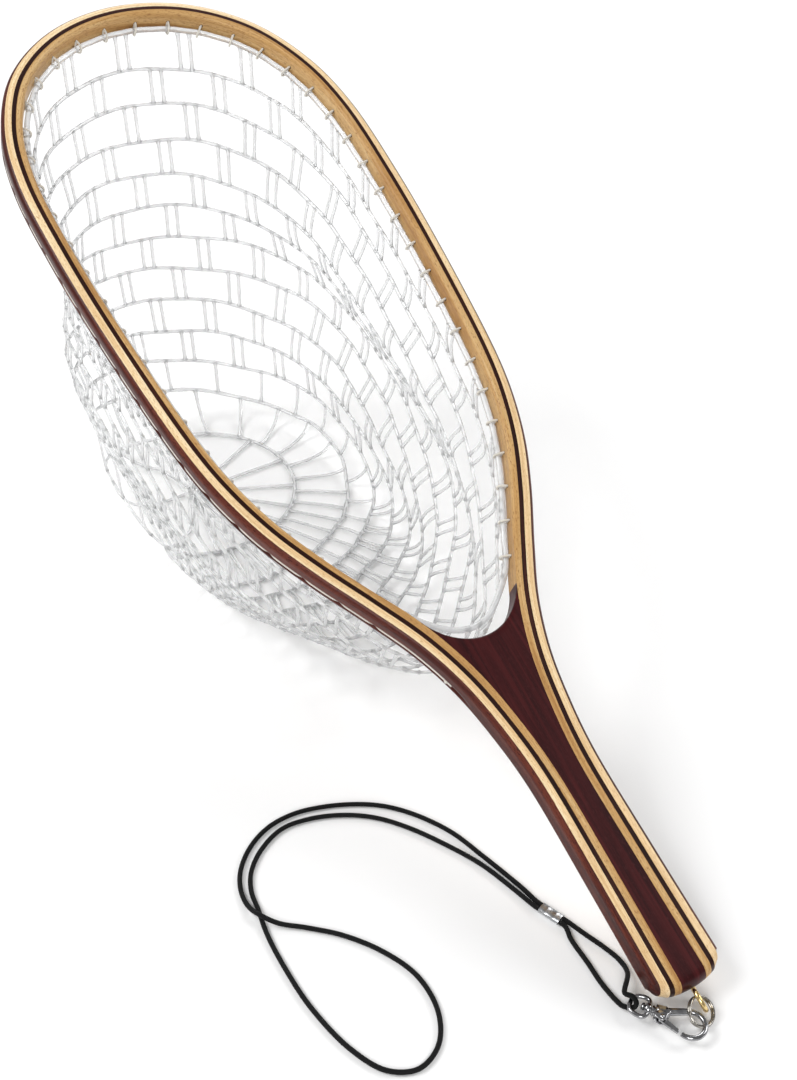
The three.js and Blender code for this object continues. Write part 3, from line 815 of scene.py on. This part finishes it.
def make_core():
    """The dark wedge between the legs, from the butt to the cradle."""
    shape = Shape()
    across, along = 28, 60
    rows = [0.0, -0.15, -0.5, -1.1, -2.0, -3.2, -4.6, -6.0, -7.4, -8.8, -10.0, -10.9, -11.5, -11.85, -12.0]
    widths = {}

    def place(j, v, height):
        t = j / across
        bx, by = cradle_point(t)
        end = by - rounded(min(-height, FRAME_HEIGHT + height), CRADLE_ROUND)
        if j not in widths:
            widths[j] = bx / max(half_width(by), 1e-6)
        share = widths[j]
        y = end * v / along
        x = half_width(y) * share
        start = butt_line(x) + half_round(height)
        y = start + (end - start) * v / along
        x = half_width(y) * share
        return shape.add(PLANE @ Vector((x, y, height)), (y * MM + 3, x * MM, height * MM))

    for height in (rows[0], rows[-1]):
        grid = [[place(j, v, height) for j in range(across + 1)] for v in range(along + 1)]
        for lower, upper in zip(grid, grid[1:]):
            shape.bridge(lower, upper, closed=False)
    loops = []
    for height in rows:
        loop = [place(j, 0, height) for j in range(across + 1)]
        loop += [place(across, v, height) for v in range(1, along + 1)]
        loop += [place(j, along, height) for j in range(across - 1, -1, -1)]
        loop += [place(0, v, height) for v in range(along - 1, 0, -1)]
        loops.append(loop)
    for lower, upper in zip(loops, loops[1:]):
        shape.bridge(lower, upper)
    return shape.build("handle_core_wood", ROSEWOOD, 50, weld=True)


def offset_path(offset, height, low):
    """Points beside the centreline, beyond a distance from the butt."""
    beside = [c + n * offset for c, n in zip(CENTRE, NORMALS)]
    return [Vector((p.x, p.y, height)) for p in beside if p.y > low]


def loop_places():
    """Where the lacing holes are: evenly round the hoop, each with its point, normal and share of the way."""
    path = [(c, n) for c, n in zip(CENTRE, NORMALS) if c.y > THROAT_HORN + 8]
    line = [c for c, n in path]
    spaced = resample(line, LOOPS)
    places = []
    for point in spaced:
        nearest = min(range(len(line)), key=lambda k: (line[k] - point).length)
        places.append((point, path[nearest][1]))
    return places


def make_groove_cord():
    """The lacing's outside run, which dips into the wood at each hole, and the knot at its end."""
    holes = [point + normal * OUTER_EDGE for point, normal in loop_places()]
    outside = [(centre + normal * OUTER_EDGE, normal) for centre, normal in zip(CENTRE, NORMALS)]
    line = []
    for point in resample(offset_path(OUTER_EDGE, GROOVE_HEIGHT, 150), 900):
        near = min((Vector((hole.x, hole.y, GROOVE_HEIGHT)) - point).length for hole in holes)
        flat = Vector((point.x, point.y, 0))
        normal = min(outside, key=lambda pair: (pair[0] - flat).length)[1]
        dip = 0.55 + 0.75 * math.exp(-(near / 2.2) ** 2)
        line.append(PLANE @ (point - normal * dip))
    shape = Shape()
    shape.tube(line, LACING_RADIUS * MM, sides=8)
    knot = line[-4]
    for k, turn in enumerate((0.4, 1.6, 2.8)):
        ring = []
        for angle in even_angles(12):
            spin = Euler((turn, 0.5 * k, 0.7 * turn)).to_matrix()
            ring.append(knot + spin @ Vector((math.cos(angle), math.sin(angle), 0)) * 0.75 * MM)
        shape.tube(ring, 0.42 * MM, sides=6, closed=True)
    return shape.build("lacing_run", LACING, 60)


def make_wood():
    """The four plies, the core and the lacing's outside run."""
    plies = (
        ("outer_ply_wood", CREAM_OUTER, OUTER_EDGE, OUTER_WOOD, "outer_dark_ply", "dark_wood"),
        ("cream_ply_wood", MIDDLE_OUTER, CREAM_OUTER, CREAM_WOOD, "cream_ply", "cream_wood"),
        ("middle_ply_wood", MIDDLE_INNER, MIDDLE_OUTER, DARK_WOOD, "middle_dark_ply", "dark_wood"),
        ("tan_ply_wood", TAN_EDGE, MIDDLE_INNER, TAN_WOOD, "tan_ply", "tan_wood"),
    )
    for name, inner, outer, material, node, slot in plies:
        finish_piece(make_ply(name, inner, outer, material), "frame", node)
    finish_piece(make_core(), "frame", "handle_core")
    finish_piece(make_groove_cord(), "frame", "lacing_cord")


def finish_piece(piece, body, node):
    """Puts a piece on its body, in place of a CAD node where there is one."""
    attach(piece, body)
    if node:
        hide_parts(node)


# ---------------------------------------------------------------- bag
def rim_line(inset):
    """The bag's rim in the hoop's plane: along the tan ply and across the cradle."""
    hoop = offset_path(TAN_EDGE - 0.3 - inset, 0, THROAT_HORN + 5)
    cradle = THROAT_DEPTH + 2.2 + inset
    across = [Vector((x, cradle + 0.026 * x * x, 0)) for x in (-18, -9, 0, 9, 18)]
    return smooth_line(hoop[::8] + across, 12, closed=True)


COLUMNS = PAIRS * 8
FINE_ROWS = 200


def bag_grid():
    """Points of the bag's wall in millimetres on the table's axes, from the rim (row 0) to the base's middle.

    Each column runs down one meridian, and its rows are spaced evenly along it.
    """
    rim = resample(rim_line(RIM_INSET), COLUMNS, closed=True)
    base_y = BUTT_Y / MM
    grid = np.zeros((FINE_ROWS + 1, COLUMNS, 3))
    for c, flat in enumerate(rim):
        top = PLANE @ Vector((flat.x, flat.y, BAG_TOP + 1.0))
        x, y, z = (v / MM for v in top)
        y -= base_y
        toward_throat = smoothstep(BAG_CENTRE - y, 60, 240)
        fullness = 0.55 + 0.45 * toward_throat
        right = smoothstep(x, 25, 70)
        left = smoothstep(-x, 25, 70)
        points = []
        for r in range(FINE_ROWS + 1):
            t = r / FINE_ROWS
            if t >= WALL_SHARE:
                share, height = BAG_BASE_SHARE * (1 - t) / (1 - WALL_SHARE), 0.0
            else:
                angle = t / WALL_SHARE * math.pi / 2
                height = 1 - math.sin(angle) ** fullness
                share = 1 - (1 - BAG_BASE_SHARE) * (1 - math.cos(angle) ** fullness)
            fold = fold_depth(height, right, left)
            reach = math.hypot(x, y - BAG_CENTRE)
            share = max(share - fold / reach, 0) if t < WALL_SHARE else share
            slack = max(1 - share / BAG_BASE_SHARE, 0)
            points.append((
                x * share + HUB_SHIFT[0] * slack,
                BAG_CENTRE + (y - BAG_CENTRE) * share + HUB_SHIFT[1] * slack,
                z * height + 1.4 * (1 - height),
            ))
        points = np.array(points)
        steps = np.linalg.norm(np.diff(points, axis=0), axis=1)
        run = np.concatenate([[0], np.cumsum(steps)])
        wanted = np.linspace(0, run[-1], FINE_ROWS + 1)
        for axis in range(3):
            grid[:, c, axis] = np.interp(wanted, run, points[:, axis])
    return grid


def fold_depth(height, right, left):
    """How far the slack wall buckles inwards at a share of its height; the right side folds most."""
    window = math.sin(math.pi * min(max(height, 0), 1)) ** 0.7
    wave = 0.5 - 0.5 * math.cos(2 * math.pi * FOLD_WAVES * height)
    return window * wave * (FOLD_DEPTH + FOLD_RIGHT * right + FOLD_LEFT * left)


GRID = bag_grid()


def bag_place(a, t):
    """The wall's point at a share round the rim and a share down the meridian."""
    column = (a % 1.0) * COLUMNS
    c0 = int(column) % COLUMNS
    c1 = (c0 + 1) % COLUMNS
    fc = column - int(column)
    row = min(max(t, 0.0), 1.0) * FINE_ROWS
    r0 = min(int(row), FINE_ROWS - 1)
    fr = row - r0
    upper = GRID[r0, c0] * (1 - fc) + GRID[r0, c1] * fc
    lower = GRID[r0 + 1, c0] * (1 - fc) + GRID[r0 + 1, c1] * fc
    return Vector(upper * (1 - fr) + lower * fr)


def bag_point(a, t):
    x, y, z = bag_place(a, t)
    return Vector((x * MM, y * MM + BUTT_Y, z * MM))


def bag_normal(a, t):
    t = min(max(t, 0.004), 0.985)
    across = bag_place(a + 0.004, t) - bag_place(a - 0.004, t)
    down = bag_place(a, t + 0.01) - bag_place(a, t - 0.01)
    normal = across.cross(down)
    return normal.normalized() if normal.length > 1e-9 else Vector((0, 0, 1))


def meridian_length(a):
    """The wall's length from the rim to the middle of the base, at a share round the rim."""
    line = [bag_place(a, k / 40) for k in range(41)]
    return line_length(line)


def ring_share(a, ring):
    """Where a ring crosses a meridian: even steps down the wall, and two wider ones on the base."""
    length = LENGTHS[int(round((a % 1.0) * COLUMNS)) % COLUMNS]
    last = RINGS - 1
    base, hub = (1 - radius / length for radius in HUB_RINGS)
    if ring <= last:
        return base * ring / last
    return base + (hub - base) * (ring - last)


LENGTHS = [meridian_length(c / COLUMNS) for c in range(COLUMNS)]


def wobble(a, ring):
    """Small unevenness of the rubber, the same each run."""
    turn = 2 * math.pi * a
    return 0.5 * math.sin(ring * 2.1 + turn * 7) + 0.35 * math.sin(ring * 5.3 + turn * 17)


def ring_point(a, ring):
    share = ring_share(a, ring)
    if 0 < ring < RINGS:
        share += wobble(a, ring) / LENGTHS[int(round((a % 1.0) * COLUMNS)) % COLUMNS]
    return a, share


def add_strand(shape, pairs, radii, closed=False):
    line = [bag_point(a, t) for a, t in pairs]
    normals = [bag_normal(a, t) for a, t in pairs]
    shape.tube(line, [r * MM for r in radii], sides=8, closed=closed, flat=0.72, normals=normals)


RING_RADIUS = 1.15
RIB_RADIUS = 1.0
FLARE = 1.5  # ribs widen by this much where they join a ring


def make_rings(shape):
    for ring in range(1, RINGS + 1):
        steps = COLUMNS if ring < RINGS else COLUMNS // 2
        pairs = [ring_point(k / steps, ring) for k in range(steps)]
        radii = [RING_RADIUS * (1 + 0.07 * math.sin(1.7 * k + ring)) for k in range(steps)]
        add_strand(shape, pairs, radii, closed=True)


def make_rib(shape, a, ring):
    """A rib from one ring to the next, wider at both ends."""
    steps = 8
    pairs, radii = [], []
    for k in range(steps + 1):
        f = k / steps
        low = ring_point(a, ring)[1] if ring else 0.0
        high = ring_point(a, ring + 1)[1]
        pairs.append((a, low + (high - low) * f))
        edge = min(f, 1 - f)
        radii.append(RIB_RADIUS * (1 + (FLARE - 1) * math.exp(-(edge / 0.09) ** 2)))
    add_strand(shape, pairs, radii)


def make_ribs(shape):
    for ring in range(RINGS):
        single = ring >= RINGS - 2
        shift = 0.5 * (ring % 2)
        for i in range(PAIRS):
            a = (i + shift) / PAIRS
            middle = bag_place(a, ring_share(a, ring + 0.5))
            beside = bag_place(a + 0.25 / PAIRS, ring_share(a, ring + 0.5))
            period = (beside - middle).length * 4
            spread = min(3.1, 0.14 * period) / max(period, 1e-6) / PAIRS
            if single:
                make_rib(shape, a, ring)
            else:
                make_rib(shape, a - spread, ring)
                make_rib(shape, a + spread, ring)


def make_spokes(shape):
    hub = Vector(GRID[-1].mean(axis=0))
    for i in range(PAIRS // 2):
        a = (2 * i + 0.5 * (RINGS % 2)) / PAIRS
        start = ring_share(a, RINGS)
        steps = 10
        pairs = [(a, start + (0.985 - start) * k / steps) for k in range(steps + 1)]
        radii = [RIB_RADIUS * (1 + 0.35 * math.exp(-(k / 1.2) ** 2)) for k in range(steps + 1)]
        add_strand(shape, pairs, radii)
    disc = Matrix.Translation(Vector((hub.x * MM, hub.y * MM + BUTT_Y, hub.z * MM))) @ Matrix.Scale(MM, 4)
    shape.lathe([(0, -0.7), (2.2, -0.7), (3.2, -0.2), (3.2, 0.3), (2.4, 0.8), (0, 0.9)], disc, 24)


def make_bead():
    """The bag's thick upper edge, drawn up a little at each lacing loop."""
    line = resample(rim_line(BEAD_RADIUS + 0.3), 420, closed=True)
    holes = [Vector((p.x, p.y, 0)) for p, n in loop_places()]
    points = []
    for point in line:
        near = min((hole - point).length for hole in holes) - 6
        lift = 0.35 * math.exp(-(max(near, 0) / 4) ** 2)
        points.append(PLANE @ Vector((point.x, point.y, BEAD_HEIGHT + lift)))
    shape = Shape()
    shape.tube(points, BEAD_RADIUS * MM, sides=12, closed=True)
    return shape.build("bag_bead", RUBBER, 60)


def make_lacing_loops():
    """Loops of cord that come out of the wood, pass round the bead and go back in."""
    shape = Shape()
    generator = random.Random(7)
    for point, normal in loop_places():
        lean = generator.uniform(-0.8, 0.8)
        ahead = Vector((-normal.y, normal.x, 0))
        route = []
        for inwards, height, shift in LOOP_ROUTE:
            sideways = shift * 0.8 + lean * max(inwards, 0) * 0.25
            place = point + normal * (TAN_EDGE - inwards) + ahead * sideways
            route.append(PLANE @ Vector((place.x, place.y, height)))
        shape.tube(smooth_line(route, 4), LOOP_RADIUS * MM, sides=8)
    return shape.build("lacing_loops", LACING, 60)


def make_hole_shade_discs():
    """Dark discs on the tan ply's inner face where the lacing leaves it: painted shade that stands in for the
    shade inside the drilled holes, which are not cut into the wood.
    """
    shape = Shape()
    for point, normal in loop_places():
        inner = point + normal * (TAN_EDGE - 0.03)
        centre = PLANE @ Vector((inner.x, inner.y, HOLE_HEIGHT))
        outward = (PLANE.to_3x3() @ normal).normalized()
        turn = outward.to_track_quat("Z", "Y").to_matrix().to_4x4()
        place = Matrix.Translation(centre) @ turn @ Matrix.Scale(MM, 4)
        shape.lathe([(0, -0.02), (0.75, -0.02), (0.95, 0.03), (0.95, 0.3), (0, 0.3)], place, 14)
    return shape.build("lacing_hole_painted_shade", DARK_WOOD, 60)


def make_bag():
    shape = Shape()
    make_rings(shape)
    make_ribs(shape)
    make_spokes(shape)
    finish_piece(shape.build("rubber_net", RUBBER, 70), "frame", "net_bag")
    finish_piece(make_bead(), "frame", "net_rim_bead")
    finish_piece(make_lacing_loops(), "frame", None)
    # dark discs of painted shade for the lacing holes
    finish_piece(make_hole_shade_discs(), "frame", None)


# ---------------------------------------------------------------- hardware
EYE_WIRE, EYE_RADIUS, EYE_CENTRE = 1.1, 4.8, 10.6
EYE_ROLL = math.radians(26.6)
SPLIT_WIRE, SPLIT_RADIUS, SPLIT_PITCH = 0.55, 6.0, 1.25
SPLIT_TURNS = 1.92
SPLIT_HEIGHT = 4.55  # its middle, above the table
SPLIT_AHEAD, SPLIT_ASIDE = 2.635, -0.7  # its middle, from the screw eye towards the hook and to its left
SPLIT_TILT, SPLIT_LEAN = math.radians(-31.5), math.radians(-5.2)
HOOK_BEARING = math.atan2(-0.23, -0.973)
HOOK_X, HOOK_RADIUS = 17.4, 6.0
PIN = (6.0, -2.1)
TIP_ANGLE = math.radians(-112)
SNAP_AXIS = SNAP @ Matrix.Rotation(math.pi / 2, 4, "Y")  # z along the snap, for turned pieces


def make_screw_eye():
    """A brass eye: a shank out of the handle's end, bent round into a ring that nearly closes."""
    shape = Shape()
    points = [(0, 10), (0, 4), (0, -1), (0, -EYE_CENTRE + EYE_RADIUS + 2.6)]
    for i in range(22):
        angle = math.radians(78 - 318 * i / 21)
        points.append((EYE_RADIUS * math.cos(angle), -EYE_CENTRE + EYE_RADIUS * math.sin(angle)))
    place = PLANE @ Matrix.Translation((0, 0, -FRAME_HEIGHT / 2))
    place = place @ Matrix.Rotation(math.pi / 2 - EYE_ROLL, 4, "Y")
    line = resample([place @ p for p in smooth_line([Vector((x, y, 0)) for x, y in points], 8)], 120)
    radii = [EYE_WIRE * MM * (1 - 0.25 * smoothstep(k, 112, 119)) for k in range(120)]
    shape.tube(line, radii, sides=16)
    return shape.build("brass_screw_eye", BRASS, 60)


def make_split_ring():
    """Nearly two turns of wire, tilted so that it passes through both the eye and the hook."""
    reach = Vector((math.cos(HOOK_BEARING), math.sin(HOOK_BEARING), 0))
    side = Vector((-reach.y, reach.x, 0))
    eye = Vector(JOINTS["ring_swing"]["pos_m"])
    centre = Vector((eye.x, eye.y, SPLIT_HEIGHT * MM)) + reach * SPLIT_AHEAD * MM + side * SPLIT_ASIDE * MM
    place = Matrix.Translation(centre) @ Matrix.Rotation(HOOK_BEARING - 0.03, 4, "Z")
    place = place @ Matrix.Rotation(SPLIT_TILT, 4, "X") @ Matrix.Rotation(SPLIT_LEAN, 4, "Y")
    place = place @ Matrix.Scale(MM, 4)
    count = 150
    line = []
    for i in range(count + 1):
        angle = 2 * math.pi * SPLIT_TURNS * i / count
        rise = SPLIT_PITCH * SPLIT_TURNS * (i / count - 0.5)
        line.append(place @ Vector((SPLIT_RADIUS * math.cos(angle), SPLIT_RADIUS * math.sin(angle), rise)))
    shape = Shape()
    shape.tube(line, SPLIT_WIRE * MM, sides=12)
    return shape.build("nickel_split_ring", NICKEL, 60)


def arc(centre, radius, start, end, steps):
    """Points on an arc, angles in radians."""
    angles = [start + (end - start) * k / steps for k in range(steps + 1)]
    return [(centre[0] + radius * math.cos(a), centre[1] + radius * math.sin(a)) for a in angles]


def make_snap():
    """The cast body: a tapering round hook, a pivot block with two cheeks, and a ringed neck."""
    shape = Shape()
    spine = [(4.6, 1.5), (7.6, 2.2), (11.0, 3.7)]
    hook = arc((HOOK_X, 0), HOOK_RADIUS, math.radians(118), TIP_ANGLE, 30)
    route = [SNAP @ p for p in smooth_line([Vector((x, y, 0)) for x, y in spine + hook], 3)]
    count = len(route)
    radii = []
    for k in range(count):
        root = 0.5 * (1 - smoothstep(k, 0, count * 0.22))
        tip = 0.12 * smoothstep(k, count * 0.8, count)
        radii.append((1.15 + root - tip) * MM)
    shape.tube(route, radii, sides=16)
    lobe = [(2.4, -2.0), (3.4, -3.3)] + arc(PIN, 1.75, math.radians(-110), math.radians(-20), 6)
    lobe += [(7.9, -0.1), (7.9, 0.6), (2.4, 0.6)]
    for low, high in ((-2.1, -1.3), (1.3, 2.1)):
        shape.prism(lobe, low, high, SNAP)
    shape.prism([(2.4, -0.1), (8.4, -0.1), (8.6, 1.6), (6.4, 3.0), (2.4, 2.4)], -2.1, 2.1, SNAP)
    body = bevel(shape.build("chrome_snap", CHROME, 40), 0.28 * MM)
    neck = Shape()
    profile = [
        (0, 1.0), (1.9, 1.0), (2.25, 1.35), (2.25, 1.9), (1.95, 2.1), (1.95, 2.5), (2.3, 2.7), (2.3, 3.4),
        (2.0, 3.8), (0, 3.8),
    ]
    neck.lathe(profile, SNAP_AXIS, 32)
    collar = neck.build("chrome_snap_collar", CHROME, 40)
    return body, collar


def make_gate():
    """The straight gate from its pin to the hook's nose, with a thumb catch."""
    shape = Shape()
    nose = arc((HOOK_X, 0), HOOK_RADIUS + 0.2, TIP_ANGLE - 0.24, TIP_ANGLE, 1)[0]
    along = math.atan2(nose[1] - PIN[1], nose[0] - PIN[0])
    length = math.hypot(nose[0] - PIN[0], nose[1] - PIN[1])
    place = SNAP @ Matrix.Translation((*PIN, 0)) @ Matrix.Rotation(along, 4, "Z")
    outline = arc((0, 0), 1.3, math.radians(70), math.radians(290), 10) + [(length, -0.85), (length, 0.85)]
    shape.prism(outline, -1.0, 0.45, place)
    thumb = [(length * 0.55, -1.3), (length * 0.72, -1.3), (length * 0.7, -0.7), (length * 0.57, -0.7)]
    shape.prism(thumb, -0.7, 0.2, place)
    return bevel(shape.build("chrome_gate", CHROME, 40), 0.22 * MM)


def make_pin():
    """The gate's pivot pin, headed at both ends."""
    shape = Shape()
    half = [(0, -2.5), (0.75, -2.4), (0.95, -2.15), (0.62, -2.1)]
    profile = half + [(radius, -height) for radius, height in reversed(half)]
    shape.lathe(profile, SNAP @ Matrix.Translation((*PIN, 0)), 24)
    return shape.build("chrome_pin", CHROME, 50)


def make_spring():
    """A few turns of fine wire round the gate's pin."""
    line = []
    count = 60
    for i in range(count + 1):
        angle = 2 * math.pi * 1.6 * i / count
        x, y = PIN[0] + 1.12 * math.cos(angle), PIN[1] + 1.12 * math.sin(angle)
        line.append(SNAP @ Vector((x, y, 0.76 + 0.36 * i / count)))
    shape = Shape()
    shape.tube(line, 0.1 * MM, sides=6)
    return shape.build("steel_spring", NICKEL, 60)


def make_swivel():
    """A D-shaped eye on a turned boss."""
    shape = Shape()
    wide = 4.4
    half = [
        (-0.6, 0), (-0.6, wide - 1.2), (-1.6, wide), (-4, wide + 0.2), (EYE_BAR + 1, wide - 1),
        (EYE_BAR, wide - 3), (EYE_BAR, 0),
    ]
    mirrored = [(x, -y) for x, y in half[1:-1]][::-1]
    line = smooth_line([Vector((x, y, 0)) for x, y in half + mirrored], 8, closed=True)
    shape.tube([SNAP @ p for p in line], 1.0 * MM, sides=14, closed=True)
    profile = [(1.25, -1.6), (2.2, -1.6), (2.55, -1.2), (2.55, 0.3), (2.2, 0.7), (1.25, 0.7), (1.25, -1.6)]
    shape.lathe(profile, SNAP_AXIS, 32)
    return shape.build("chrome_swivel_eye", CHROME, 50)


def make_rivet():
    """The rivet that holds the eye, with a domed head."""
    shape = Shape()
    head = [(0, -3.5), (1.1, -3.45), (1.6, -3.2), (1.9, -2.8), (1.9, -2.2)]
    profile = head + [(1.0, -1.9), (1.0, 1.1), (0, 1.1)]
    shape.lathe(profile, SNAP_AXIS, 28)
    return shape.build("chrome_rivet", CHROME, 50)


def make_hardware():
    body, collar = make_snap()
    for piece, rides_on, node, slot in (
        (make_screw_eye(), "frame", "screw_eye", "brass"),
        (make_split_ring(), "ring", "split_ring", "nickel"),
        (body, "snap", "snap_body", "chrome"),
        (collar, "snap", None, "chrome"),
        (make_gate(), "gate", "snap_gate", "chrome"),
        (make_pin(), "snap", "gate_pin", "chrome"),
        (make_spring(), "snap", "gate_spring", "nickel"),
        (make_swivel(), "swivel", "swivel_eye", "chrome"),
        (make_rivet(), "snap", "swivel_rivet", "chrome"),
    ):
        finish_piece(piece, rides_on, node)


add_camera()
make_lanyard()
make_wood()
make_bag()
make_hardware()
add_stage()
